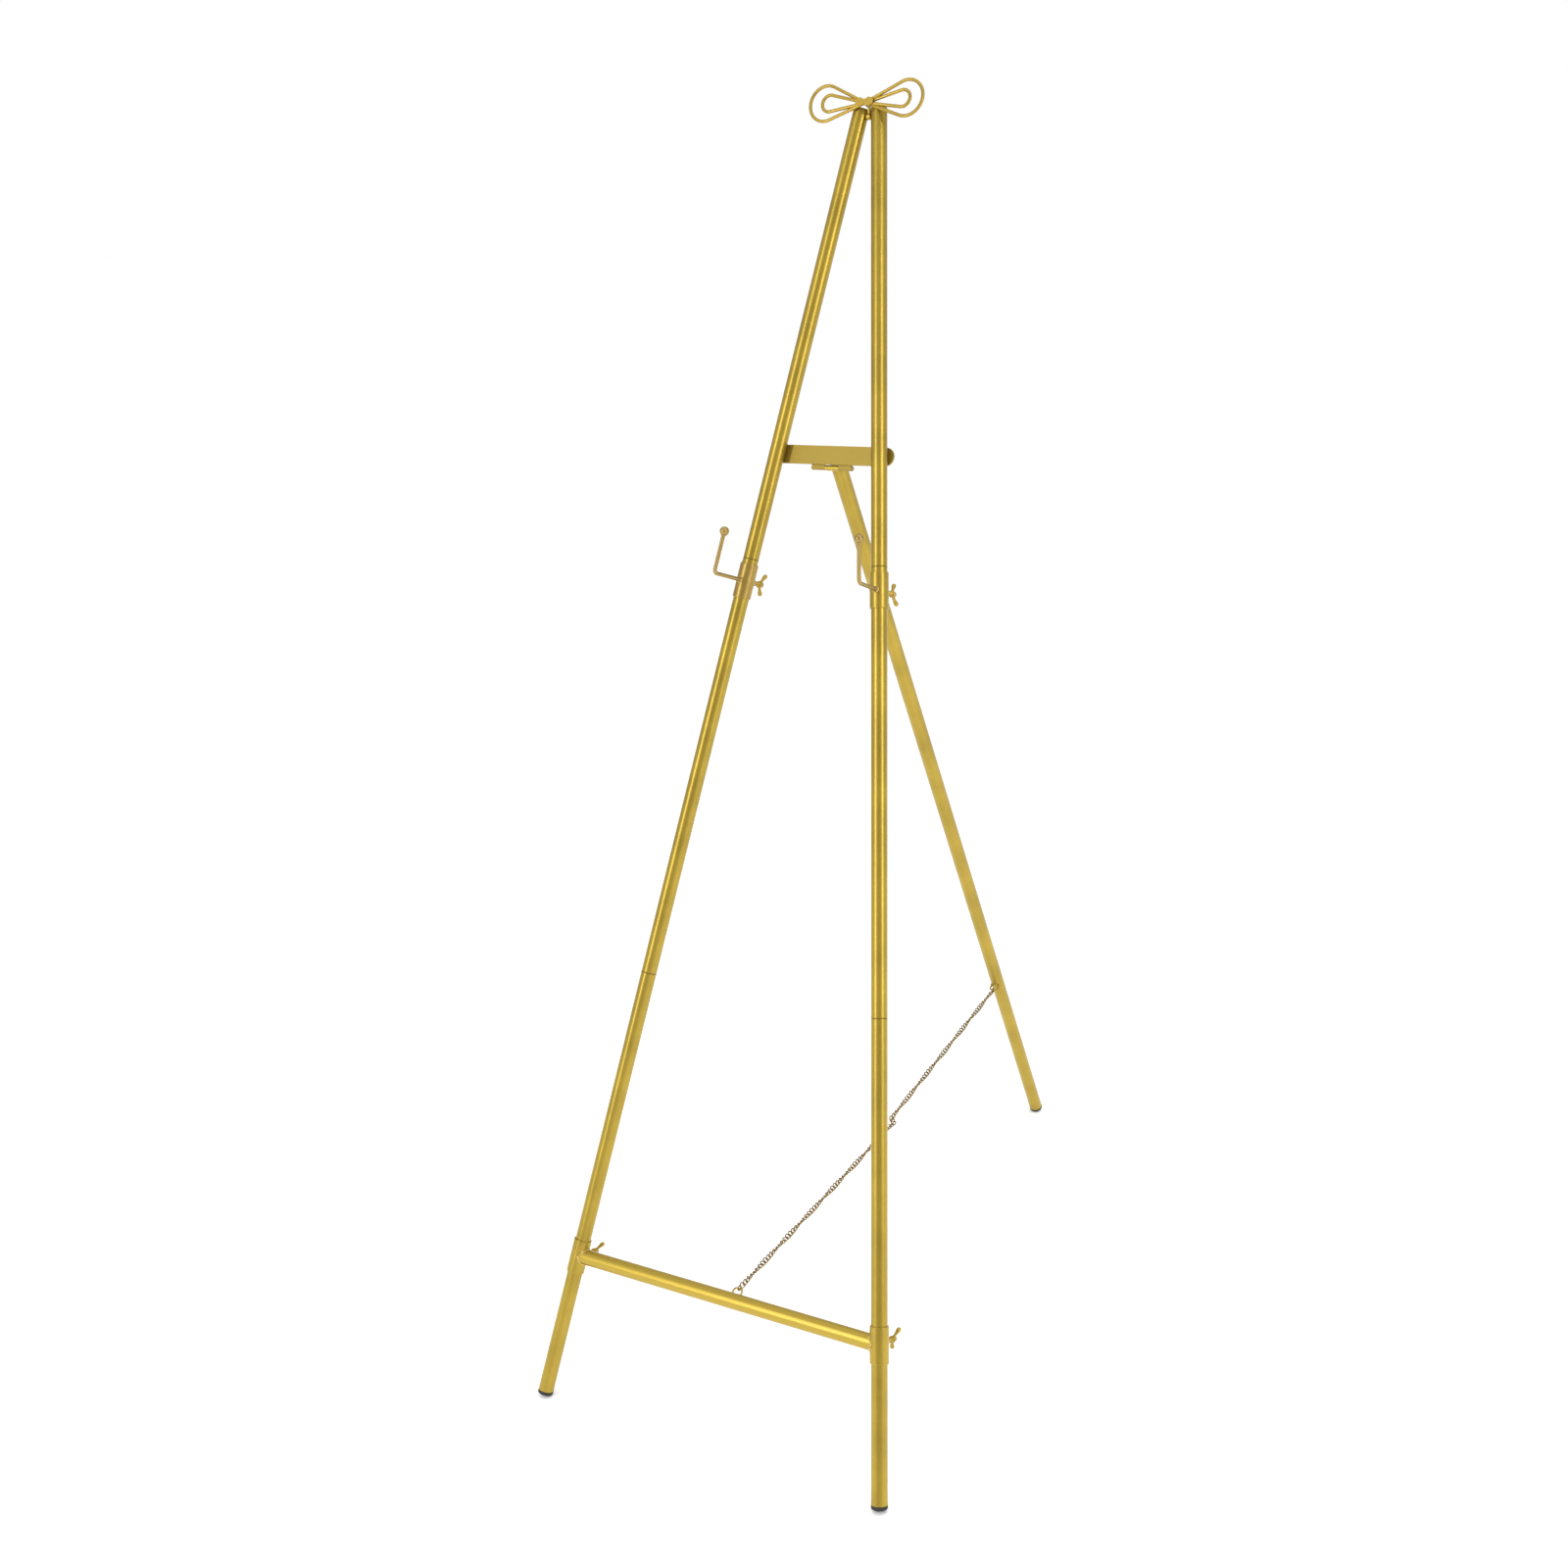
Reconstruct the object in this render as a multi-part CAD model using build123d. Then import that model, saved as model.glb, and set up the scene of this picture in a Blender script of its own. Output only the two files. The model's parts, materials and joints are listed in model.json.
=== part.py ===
from build123d import *
import math
import os

# A tall floor-standing display easel in tubular steel: an A-shaped front frame of two
# three-section legs, one hinged rear leg, a chain that limits the spread, a low shelf bar,
# two sliding hooks for the board, and a bent-wire bow on top.
#
# Frame: +X to the viewer's right, +Y to the rear, +Z up, millimetres.
# Origin: on the floor, at the middle of the footprint.

# ---------------------------------------------------------------- driving dimensions
LEG_LENGTH = 1603.0        # foot to tip of a front leg, along the leg
FOOT_HALF_SPAN = 237.9     # leg axis at the floor, from the middle
APEX_HALF_SPAN = 11.6      # leg axis at the top, from the middle
LEAN = 20.7                # front frame leans back, degrees
REAR_ANGLE = 24.15         # rear leg from vertical, degrees
FRONT_FEET_Y = -464.42     # line of the front feet, from the middle of the footprint

TUBE_R = 9.5               # 19 mm steel tube everywhere
TUBE_WALL = 1.2
BORE_R = TUBE_R - TUBE_WALL
GAP = 0.05                 # between pieces that only touch
HOLE_PLAY = 0.1            # extra radius of a clearance hole
OVERCUT = 1.0              # how far a cutting tool runs past the surface it cuts
FAR = 60.0                 # a cutter length that passes right through any tube

LOWER_SEAM = 547.0         # where the leg sections meet, along the leg
UPPER_SEAM = 1063.0
SPIGOT_LENGTH = 45.0
SPIGOT_WALL = 1.0

PLUG_CAP = 5.0             # rubber foot plug below the tube
PLUG_EDGE = 2.5
PLUG_STEM = 18.0
PLUG_STEM_PLAY = 0.6
RIB_FIRST = 2.0            # first rib above the tube's end, its height and the spacing
RIB_HEIGHT = 2.0
RIB_PITCH = 5.0
RIB_COUNT = 3

APEX_UP = 1578.0           # pin that joins the leg tops, up the front plane
APEX_R = 2.5
APEX_HALF_LENGTH = 22.2    # ends just below the tubes' outer sides

STRIP_HEIGHT = 22.0        # flat cross strip behind the legs
STRIP_THICK = 3.0
STRIP_UP = 1181.5          # its middle, measured up the front plane
STRIP_OVERHANG = 2.5       # end arc centre beyond the screw

SCREW_R = 2.5              # socket screws of the strip
SCREW_START = 0.5          # screw tip behind the leg axis
HEAD_R = 4.4
HEAD_HEIGHT = 2.8
HEAD_ROUND = 1.2
SOCKET_R = 1.8
SOCKET_DEPTH = 1.6
WASHER_R = 5.5
WASHER_THICK = 1.0
RIVET_NUT_R = 3.6
RIVET_NUT_START = 0.2
RIVET_NUT_END = 7.2

LEAF_THICK = 1.5           # butt hinge
HINGE_WIDTH = 54.0
HINGE_LEAF_HEIGHT = 20.0
KNUCKLE = HINGE_WIDTH / 3
KNUCKLE_GAP = 0.2
NOTCH_PLAY = 0.6
BARREL_R = 3.0
PIN_R = 1.5
PIN_HEAD_R = 2.3
PIN_HEAD = 1.0
HINGE_UP = 1167.5          # barrel axis, up the front plane
REAR_OFFSET = 13.5         # rear tube axis from the barrel axis
LEAF_DROP = 4.5            # underside of the moving leaf, below the barrel axis
LEAF_START = 0.5           # moving leaf from the barrel axis
LEAF_SHORT = 1.0           # moving leaf ends this far inside the rear tube's back
WEB_DEPTH = 2.4            # web that lifts the moving leaf to its knuckle

SLEEVE_R = 11.0            # sleeves that slip over the legs
SLEEVE_BORE_R = 9.65
SLEEVE_LENGTH = 42.0
SLEEVE_EDGE = 0.5
HOOK_AT = 1036.0           # hook sleeve middles along the leg
BAR_UP = 180.0             # shelf bar axis, up the front plane
BOSS_R = 5.0
BOSS_LENGTH = 5.0

HOOK_WIRE_R = 2.4
HOOK_REACH = 60.0          # leg axis to the upright part of the hook
HOOK_RISE = 50.0
HOOK_BEND = 5.0
HOOK_TURN = 6.0            # hooks point slightly outward, degrees
BALL_R = 5.6
BALL_SEAT = 2.0            # the wire stops this far below the ball's centre

WING_SHANK_R = 3.0
WING_SHANK_END = 30.0      # distances from the leg axis
WING_HUB_END = 37.0
WING_HUB_R = 4.2
WING_ROD_R = 2.1
WING_ROOT = 2.5            # wing rods start this far along the hub
WING_TIP = 2.0             # and end this far beyond it
WING_SPREAD = 11.0
WING_TURNS = {             # how each pair of wings was left, degrees
    "left_hook": 4.0,
    "right_hook": -8.0,
    "left_bar": 23.0,
    "right_bar": 23.0,
}

EYE_WIRE_R = 1.2           # staple-shaped eyes for the chain
EYE_HALF_WIDTH = 5.8
EYE_RISE = 7.3             # crown wire's axis above the tube's surface
EYE_CORNER = 3.3
EYE_ROOT = 6.0             # leg ends below the tube's crest, before they are trimmed to it
BAR_EYE_X = 15.0
BAR_EYE_TILT = 50.0        # from the rear normal towards up, degrees
REAR_EYE_DOWN = 908.0      # along the rear leg from the hinge

LINK_WIRE_R = 0.7          # chain
LINK_PITCH = 5.9
LINK_OUTER = 5.4
LINK_TWIST = 45.0
END_RING_R = 3.3
END_RING_PLAY = 0.2
CHAIN_SAG = 17.0
CHAIN_SPLIT = 0.5487       # where the two halves meet, as a fraction from the bar
CHAIN_JOG = 6.6            # the halves' ends pass side by side, this far apart

BOW_UP = 1589.5            # bow centre, up the front plane
BOW_WIRE_R = 2.0
BOW_TILT = 2.7             # each side of the bow is lifted a little, degrees
BOW_LOOPS = (              # centre of a loop's round end from the knot, and that end's radius
    (54.0, 21.0),
    (48.7, 9.8),
)
KNOT_R = 3.2
BOW_AHEAD = TUBE_R + KNOT_R + GAP     # the bow stands just ahead of the legs
KNOT_PLATE = 1.5
KNOT_OUTLINE = (
    (-12, -1),
    (-5, 5),
    (0, 3.5),
    (5, 5),
    (12, -1),
    (5, -5),
    (0, -4),
    (-5, -5),
)

STRAP = 2.4                # bracket that carries the bow
BRACKET_RING_R = 4.2
BRACKET_RING_WIDTH = 4.8
STRAP_OUTLINE = (          # back (+) or forward of the apex pin, and above it
    (-2.5, 2),
    (2.5, 2),
    (-3, 13.5),
    (2 - BOW_AHEAD, 13.5),
    (2 - BOW_AHEAD, 9),
    (-6, 9),
)

# ---------------------------------------------------------------- frames
SPLAY = math.degrees(math.asin((FOOT_HALF_SPAN - APEX_HALF_SPAN) / LEG_LENGTH))
SIDES = ((-1, "left"), (1, "right"))


def foot_lift(tilt_cosine):
    """Height of a tilted foot's axis end when its rounded edge just touches the floor."""
    tilt_sine = math.sqrt(1 - tilt_cosine**2)
    return (TUBE_R - PLUG_EDGE) * tilt_sine + PLUG_EDGE * (1 - tilt_cosine)


lean = math.radians(LEAN)
splay = math.radians(SPLAY)
rear = math.radians(REAR_ANGLE)
FRONT_LIFT = foot_lift(math.cos(lean) * math.cos(splay))
REAR_LIFT = foot_lift(math.cos(rear))

# Front plane: local X across, local Z up the plane, local Y out of its back.
front = Location((0, FRONT_FEET_Y, FRONT_LIFT), (-LEAN, 0, 0))
STRIP_BACK = TUBE_R + GAP                      # distances behind the leg axes
LEAF_BACK = STRIP_BACK + STRIP_THICK + GAP
HINGE_BACK = LEAF_BACK + BARREL_R
hinge_point = (front * Location((0, HINGE_BACK, HINGE_UP))).position

# Rear leg: local origin on the hinge axis, local -Z down the leg, local Y across its back.
rear_frame = Location(tuple(hinge_point), (REAR_ANGLE, 0, 0))
REAR_LENGTH = (hinge_point.Z + REAR_OFFSET * math.sin(rear) - REAR_LIFT) / math.cos(rear)
BAR_AT = BAR_UP / math.cos(splay)              # shelf bar axis, along the leg

BOTTOM = (Align.CENTER, Align.CENTER, Align.MIN)
BACKWARD = (Align.CENTER, Align.MIN, Align.MIN)


def leg_frame(side):
    """Local Z runs up the leg from its foot, local Y points out of the frame's back."""
    return front * Location((side * FOOT_HALF_SPAN, 0, 0), (0, -side * SPLAY, 0))


def leg_x(side, up):
    """Where a leg's axis is across the front plane, at a height up the plane."""
    return side * (FOOT_HALF_SPAN - up * math.tan(splay))


# ---------------------------------------------------------------- small shapes
def rod(radius, start, end, axis="z"):
    """A round bar from start to end along a local axis."""
    turn = {"x": (0, 90, 0), "y": (-90, 0, 0), "z": (0, 0, 0)}[axis]
    along = {"x": (start, 0, 0), "y": (0, start, 0), "z": (0, 0, start)}[axis]
    return Location(along, turn) * Cylinder(radius, end - start, align=BOTTOM)


def pipe(outer, inner, start, end, axis="z"):
    return rod(outer, start, end, axis) - rod(inner, start - OVERCUT, end + OVERCUT, axis)


def wire_along(path, radius):
    """A round wire swept along a path of edges."""
    profile = Plane(path @ 0, z_dir=path % 0) * Circle(radius)
    return sweep(profile, path=path, transition=Transition.ROUND)


def group(solids):
    return Compound(children=list(solids))


parts = {}


# ---------------------------------------------------------------- front legs
def leg_section(start, end, spigot):
    """One tube of a leg. A section with a spigot plugs down into the one below."""
    body = pipe(TUBE_R, BORE_R, start, end)
    if not spigot:
        return body
    inner = BORE_R - GAP
    plug = pipe(inner, inner - SPIGOT_WALL, start - SPIGOT_LENGTH, start)
    collar = pipe(TUBE_R, inner - SPIGOT_WALL, start, start + TUBE_WALL)
    return body + collar + plug


def strip_hole(side):
    """Clearance hole through the rear wall of a leg, for the cross strip's screw."""
    hole = rod(SCREW_R + HOLE_PLAY, 0, TUBE_R + OVERCUT, "y")
    return front * Location((leg_x(side, STRIP_UP), 0, STRIP_UP)) * hole


def at_apex(shape):
    return front * Location((0, 0, APEX_UP)) * shape


apex_hole = at_apex(rod(APEX_R + HOLE_PLAY, -FAR, FAR, "x"))
for side, name in SIDES:
    at = leg_frame(side)
    parts[f"{name}_leg_lower"] = at * leg_section(PLUG_CAP, LOWER_SEAM, False)
    parts[f"{name}_leg_middle"] = at * leg_section(LOWER_SEAM + GAP, UPPER_SEAM, True)
    upper = at * leg_section(UPPER_SEAM + GAP, LEG_LENGTH, True)
    parts[f"{name}_leg_upper"] = upper - strip_hole(side) - apex_hole

parts["apex_pin"] = at_apex(rod(APEX_R, -APEX_HALF_LENGTH, APEX_HALF_LENGTH, "x"))


# ---------------------------------------------------------------- foot plugs
def foot_plug():
    """Rubber plug: a cap as wide as the tube with a rounded sole, and a ribbed stem inside."""
    cap = Cylinder(TUBE_R, PLUG_CAP - GAP, align=BOTTOM)
    cap = fillet(cap.edges().filter_by(GeomType.CIRCLE).sort_by(Axis.Z)[0], PLUG_EDGE)
    stem = rod(BORE_R - PLUG_STEM_PLAY, PLUG_CAP - GAP, PLUG_CAP + PLUG_STEM)
    rib = rod(BORE_R - GAP, PLUG_CAP + RIB_FIRST, PLUG_CAP + RIB_FIRST + RIB_HEIGHT)
    ribs = [Location((0, 0, RIB_PITCH * i)) * rib for i in range(RIB_COUNT)]
    return cap + stem + ribs


for side, name in SIDES:
    parts[f"{name}_foot_plug"] = leg_frame(side) * foot_plug()
parts["rear_foot_plug"] = rear_frame * Location((0, REAR_OFFSET, -REAR_LENGTH)) * foot_plug()

# ---------------------------------------------------------------- cross strip
strip_x = leg_x(1, STRIP_UP)
slot = SlotCenterToCenter(2 * (strip_x + STRIP_OVERHANG), STRIP_HEIGHT)
strip = Location((0, STRIP_BACK + STRIP_THICK, 0), (90, 0, 0)) * extrude(slot, STRIP_THICK)
for side, name in SIDES:
    strip -= Location((side * strip_x, 0, 0)) * rod(SCREW_R + HOLE_PLAY, 0, FAR, "y")
parts["cross_strip"] = front * Location((0, 0, STRIP_UP)) * strip

washer_back = STRIP_BACK + STRIP_THICK + GAP
washer_end = washer_back + WASHER_THICK
head_back = washer_end + GAP
head_end = head_back + HEAD_HEIGHT


def strip_screw():
    """A screw with a rounded head and a hexagon socket."""
    head = rod(HEAD_R, head_back, head_end, "y")
    rim = head.edges().filter_by(GeomType.CIRCLE).sort_by(Axis.Y)[-1]
    head = fillet(rim, HEAD_ROUND)
    socket = extrude(RegularPolygon(SOCKET_R, 6), SOCKET_DEPTH)
    head -= Location((0, head_end, 0), (90, 0, 0)) * socket
    return head + rod(SCREW_R, SCREW_START, head_back + SCREW_START, "y")


def at_strip_ends(shape):
    return group(front * Location((side * strip_x, 0, STRIP_UP)) * shape for side, name in SIDES)


washer = pipe(WASHER_R, SCREW_R + HOLE_PLAY, washer_back, washer_end, "y")
rivet_nut = pipe(RIVET_NUT_R, SCREW_R + GAP, RIVET_NUT_START, RIVET_NUT_END, "y")
parts["strip_washers"] = at_strip_ends(washer)
parts["strip_screws"] = at_strip_ends(strip_screw())
parts["strip_rivet_nuts"] = at_strip_ends(rivet_nut)

# ---------------------------------------------------------------- butt hinge
HALF_HINGE = HINGE_WIDTH / 2


def at_hinge(shape):
    return front * Location((0, HINGE_BACK, HINGE_UP)) * shape


def fixed_leaf():
    """Flat leaf welded to the back of the strip, with the two outer knuckles."""
    leaf = Box(HINGE_WIDTH, LEAF_THICK, HINGE_LEAF_HEIGHT, align=BOTTOM)
    leaf = Location((0, -BARREL_R + LEAF_THICK / 2, 0)) * leaf
    notch_width = KNUCKLE + 2 * KNUCKLE_GAP
    leaf -= Box(notch_width, 2 * (BARREL_R + OVERCUT), BARREL_R + NOTCH_PLAY, align=BOTTOM)
    inner_end = KNUCKLE / 2 + KNUCKLE_GAP
    leaf += rod(BARREL_R, -HALF_HINGE, -inner_end, "x")
    leaf += rod(BARREL_R, inner_end, HALF_HINGE, "x")
    return leaf - rod(PIN_R + GAP, -FAR, FAR, "x")


def hinge_pin():
    """The pin with a flat head at each end."""
    pin = rod(PIN_R, -HALF_HINGE - PIN_HEAD / 2, HALF_HINGE + PIN_HEAD / 2, "x")
    pin += rod(PIN_HEAD_R, HALF_HINGE + GAP, HALF_HINGE + PIN_HEAD, "x")
    pin += rod(PIN_HEAD_R, -HALF_HINGE - PIN_HEAD, -HALF_HINGE - GAP, "x")
    return pin


def moving_leaf():
    """The middle knuckle, and a leaf that lies across the top of the rear tube."""
    leaf = rod(BARREL_R, -KNUCKLE / 2, KNUCKLE / 2, "x")
    plate_length = REAR_OFFSET + TUBE_R - LEAF_SHORT
    under = Location((0, LEAF_START, -LEAF_DROP))
    leaf += under * Box(KNUCKLE, plate_length, LEAF_THICK, align=BACKWARD)
    leaf += under * Box(KNUCKLE, WEB_DEPTH, LEAF_DROP - OVERCUT, align=BACKWARD)
    return leaf - rod(PIN_R + GAP, -FAR, FAR, "x")


parts["hinge_fixed_leaf"] = at_hinge(fixed_leaf())
parts["hinge_pin"] = at_hinge(hinge_pin())
parts["hinge_moving_leaf"] = rear_frame * moving_leaf()

# ---------------------------------------------------------------- rear leg
rear_tube = pipe(TUBE_R, BORE_R, -REAR_LENGTH + PLUG_CAP, -LEAF_DROP - GAP)
parts["rear_leg"] = rear_frame * Location((0, REAR_OFFSET, 0)) * rear_tube


# ---------------------------------------------------------------- sleeves and hooks
def sleeve():
    """A short tube over the leg with a threaded boss for its wing screw on the back."""
    body = pipe(SLEEVE_R, SLEEVE_BORE_R, -SLEEVE_LENGTH / 2, SLEEVE_LENGTH / 2)
    rims = body.edges().filter_by(GeomType.CIRCLE).group_by(SortBy.RADIUS)[-1]
    body = fillet(rims, SLEEVE_EDGE)
    boss = rod(BOSS_R, SLEEVE_BORE_R + SLEEVE_EDGE, SLEEVE_R + BOSS_LENGTH, "y")
    body += boss - rod(SLEEVE_BORE_R, -SLEEVE_LENGTH, SLEEVE_LENGTH)
    return body - rod(WING_SHANK_R + GAP, SLEEVE_BORE_R / 2, FAR, "y")


def hook_wire():
    """From the front of the sleeve, out along local -Y, round a bend and up into the ball."""
    with BuildLine(Plane.YZ) as line:
        Polyline(
            (-SLEEVE_R - 2 * GAP, 0),
            (-HOOK_REACH, 0),
            (-HOOK_REACH, HOOK_RISE - BALL_SEAT),
        )
        corner = line.vertices().sort_by(Axis.Y)[0:2].sort_by(Axis.Z)[0]
        fillet(corner, HOOK_BEND)
    return wire_along(line.wire(), HOOK_WIRE_R)


def hook_ball():
    """The ball on the hook's tip, drilled for the wire."""
    ball = Location((0, -HOOK_REACH, HOOK_RISE)) * Sphere(BALL_R)
    drill = rod(HOOK_WIRE_R + GAP, 0, HOOK_RISE - BALL_SEAT + GAP)
    return ball - Location((0, -HOOK_REACH, 0)) * drill


def hook_seat(side, turn=0):
    return leg_frame(side) * Location((0, 0, HOOK_AT), (0, 0, turn))


def bar_seat(side):
    return leg_frame(side) * Location((0, 0, BAR_AT))


for side, name in SIDES:
    turned = hook_seat(side, side * HOOK_TURN)
    parts[f"{name}_hook_sleeve"] = hook_seat(side) * sleeve()
    parts[f"{name}_hook_wire"] = turned * hook_wire()
    parts[f"{name}_hook_ball"] = turned * hook_ball()
    parts[f"{name}_bar_sleeve"] = bar_seat(side) * sleeve()


# ---------------------------------------------------------------- wing screws
def wing_screw(turn):
    """Threaded shank, round hub and two splayed rod wings, pointing out of the frame's back."""
    body = rod(WING_SHANK_R, TUBE_R + GAP, WING_SHANK_END, "y")
    body += rod(WING_HUB_R, WING_SHANK_END, WING_HUB_END, "y")
    root = Vector(0, WING_SHANK_END + WING_ROOT, 0)
    for sign in (-1, 1):
        tip = Vector(0, WING_HUB_END + WING_TIP, sign * WING_SPREAD)
        reach = tip - root
        wing = Cylinder(WING_ROD_R, reach.length, align=BOTTOM)
        body += Plane(root, z_dir=reach.normalized()) * wing
        body += Location(tuple(tip)) * Sphere(WING_ROD_R)
    return Location((0, 0, 0), (0, turn, 0)) * body


for side, name in SIDES:
    hook_wings = wing_screw(WING_TURNS[f"{name}_hook"])
    bar_wings = wing_screw(WING_TURNS[f"{name}_bar"])
    parts[f"{name}_hook_wing_screw"] = hook_seat(side) * hook_wings
    parts[f"{name}_bar_wing_screw"] = bar_seat(side) * bar_wings

# ---------------------------------------------------------------- shelf bar
bar_reach = leg_x(1, BAR_UP)
bar = front * Location((0, 0, BAR_UP)) * pipe(TUBE_R, BORE_R, -bar_reach, bar_reach, "x")
for side, name in SIDES:
    bar -= bar_seat(side) * rod(SLEEVE_R + GAP, -SLEEVE_LENGTH, SLEEVE_LENGTH)
parts["shelf_bar"] = bar.solids().sort_by(SortBy.VOLUME)[-1]


# ---------------------------------------------------------------- chain and its eyes
def eye():
    """A staple with rounded corners. Local Z stands off the tube, it lies in local XZ."""
    flat = EYE_HALF_WIDTH - EYE_CORNER
    shoulder = EYE_RISE - EYE_CORNER
    slant = EYE_CORNER * math.sqrt(0.5)
    with BuildLine(Plane.XZ) as line:
        Line((-EYE_HALF_WIDTH, -EYE_ROOT), (-EYE_HALF_WIDTH, shoulder))
        ThreePointArc(
            (-EYE_HALF_WIDTH, shoulder),
            (-flat - slant, shoulder + slant),
            (-flat, EYE_RISE),
        )
        Line((-flat, EYE_RISE), (flat, EYE_RISE))
        ThreePointArc(
            (flat, EYE_RISE),
            (flat + slant, shoulder + slant),
            (EYE_HALF_WIDTH, shoulder),
        )
        Line((EYE_HALF_WIDTH, shoulder), (EYE_HALF_WIDTH, -EYE_ROOT))
    return Location((0, 0, TUBE_R)) * wire_along(line.wire(), EYE_WIRE_R)


bar_eye_at = front * Location((BAR_EYE_X, 0, BAR_UP), (BAR_EYE_TILT - 90, 0, 0))
rear_eye_at = rear_frame * Location((0, REAR_OFFSET, -REAR_EYE_DOWN), (90, 0, 0))
parts["bar_chain_eye"] = bar_eye_at * (eye() - rod(TUBE_R + GAP, -FAR, FAR, "x"))
parts["rear_chain_eye"] = rear_eye_at * (eye() - rod(TUBE_R + GAP, -FAR, FAR, "y"))

to_crown = Location((0, 0, TUBE_R + EYE_RISE))
bar_crown = (bar_eye_at * to_crown).position
rear_crown = (rear_eye_at * to_crown).position
chain_middle = bar_crown + (rear_crown - bar_crown) * CHAIN_SPLIT - Vector(0, 0, CHAIN_SAG)
half_jog = Vector(CHAIN_JOG / 2, 0, 0)


def oval_link():
    """One chain link: an oval ring of round wire, long along local X, flat in local XY."""
    ring_r = LINK_OUTER / 2 - LINK_WIRE_R
    reach = LINK_PITCH / 2 + LINK_WIRE_R + GAP - ring_r
    with BuildLine() as line:
        Line((-reach, -ring_r), (reach, -ring_r))
        ThreePointArc((reach, -ring_r), (reach + ring_r, 0), (reach, ring_r))
        Line((reach, ring_r), (-reach, ring_r))
        ThreePointArc((-reach, ring_r), (-reach - ring_r, 0), (-reach, -ring_r))
    return wire_along(line.wire(), LINK_WIRE_R)


def chain_half(start, end):
    """Links from an eye's crown to the split in the chain, twisted by turns."""
    span = end - start
    along = Plane(start, x_dir=span, z_dir=span.cross(Vector(1, 0, 0))).location
    ring_at = END_RING_R - EYE_WIRE_R - LINK_WIRE_R - END_RING_PLAY
    end_ring = Location((ring_at, 0, 0), (90, 0, 0)) * Torus(END_RING_R, LINK_WIRE_R)
    first = ring_at + END_RING_R + LINK_PITCH / 2 - 2 * GAP
    run = span.length - first
    count = round(run / LINK_PITCH + 0.5)
    pitch = run / (count - 0.5)
    link = oval_link()
    shapes = [end_ring]
    for i in range(count):
        twist = LINK_TWIST if (count - i) % 2 == 0 else -LINK_TWIST
        shapes.append(Location((first + i * pitch, 0, 0), (twist, 0, 0)) * link)
    return group(along * shape for shape in shapes)


parts["chain_lower_half"] = chain_half(bar_crown, chain_middle + half_jog)
parts["chain_upper_half"] = chain_half(rear_crown, chain_middle - half_jog)


# ---------------------------------------------------------------- bow
def bow_loop(distance, radius):
    """A loop of wire: straight from the knot, round the far end and straight back."""
    half_angle = math.asin(radius / distance)
    tangent = distance * math.cos(half_angle)
    touch_x = tangent * math.cos(half_angle)
    touch_z = tangent * math.sin(half_angle)
    with BuildLine(Plane.XZ) as line:
        Line((0, 0), (touch_x, touch_z))
        ThreePointArc((touch_x, touch_z), (distance + radius, 0), (touch_x, -touch_z))
        Line((touch_x, -touch_z), (0, 0))
    wire = line.wire()
    first = wire.edges()[0]
    profile = Plane(first @ 0, z_dir=first % 0) * Circle(BOW_WIRE_R)
    return sweep(profile, path=wire, transition=Transition.RIGHT)


at_bow = front * Location((0, -BOW_AHEAD, BOW_UP))
bow = Sphere(KNOT_R)
for distance, radius in BOW_LOOPS:
    loop = Location((0, 0, 0), (0, -BOW_TILT, 0)) * bow_loop(distance, radius)
    bow += loop
    bow += mirror(loop, about=Plane.YZ)
parts["bow_wire"] = at_bow * bow

knot = extrude(make_face(Polyline(*KNOT_OUTLINE, close=True)), KNOT_PLATE)
parts["bow_knot_plate"] = at_bow * Location((0, -KNOT_R - GAP, 0), (90, 0, 0)) * knot


def bow_bracket():
    """A ring on the apex pin between the legs, and a strap forward and up to the bow."""
    half_ring = BRACKET_RING_WIDTH / 2
    ring = pipe(BRACKET_RING_R, APEX_R + HOLE_PLAY, -half_ring, half_ring, "x")
    with BuildPart(Plane.YZ) as strap:
        with BuildSketch(Plane.YZ):
            Polygon(*STRAP_OUTLINE, align=None)
        extrude(amount=STRAP / 2, both=True)
    return ring + (strap.part - rod(APEX_R + HOLE_PLAY, -FAR, FAR, "x"))


bracket = at_apex(bow_bracket())
parts["bow_bracket"] = bracket - at_bow * Sphere(KNOT_R + GAP) - parts["bow_wire"]

# ---------------------------------------------------------------- output
os.makedirs("parts", exist_ok=True)
for node, shape in parts.items():
    export_step(shape, f"parts/{node}.step")

print("hinge", [round(v, 4) for v in hinge_point])
print("bar crown", [round(v, 4) for v in bar_crown])
print("rear crown", [round(v, 4) for v in rear_crown])
print("chain middle", [round(v, 4) for v in chain_middle])
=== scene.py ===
import json
import math

import bmesh
import bpy
from mathutils import Matrix, Vector


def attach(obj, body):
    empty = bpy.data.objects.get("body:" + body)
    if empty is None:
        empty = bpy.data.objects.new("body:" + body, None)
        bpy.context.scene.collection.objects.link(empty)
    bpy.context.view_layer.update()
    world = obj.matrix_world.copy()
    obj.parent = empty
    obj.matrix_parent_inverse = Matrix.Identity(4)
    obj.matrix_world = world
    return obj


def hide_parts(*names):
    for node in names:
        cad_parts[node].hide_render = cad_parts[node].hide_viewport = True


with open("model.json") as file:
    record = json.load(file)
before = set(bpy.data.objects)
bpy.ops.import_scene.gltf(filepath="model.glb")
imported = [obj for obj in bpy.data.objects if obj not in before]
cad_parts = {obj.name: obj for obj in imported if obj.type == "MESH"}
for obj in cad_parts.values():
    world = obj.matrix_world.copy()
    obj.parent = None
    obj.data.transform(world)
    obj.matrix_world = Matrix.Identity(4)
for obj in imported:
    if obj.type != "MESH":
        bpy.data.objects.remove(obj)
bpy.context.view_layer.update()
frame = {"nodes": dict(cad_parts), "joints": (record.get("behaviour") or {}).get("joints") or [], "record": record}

# ------------------------------------------------------------------ sizes, in metres and radians
MM = 0.001
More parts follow.
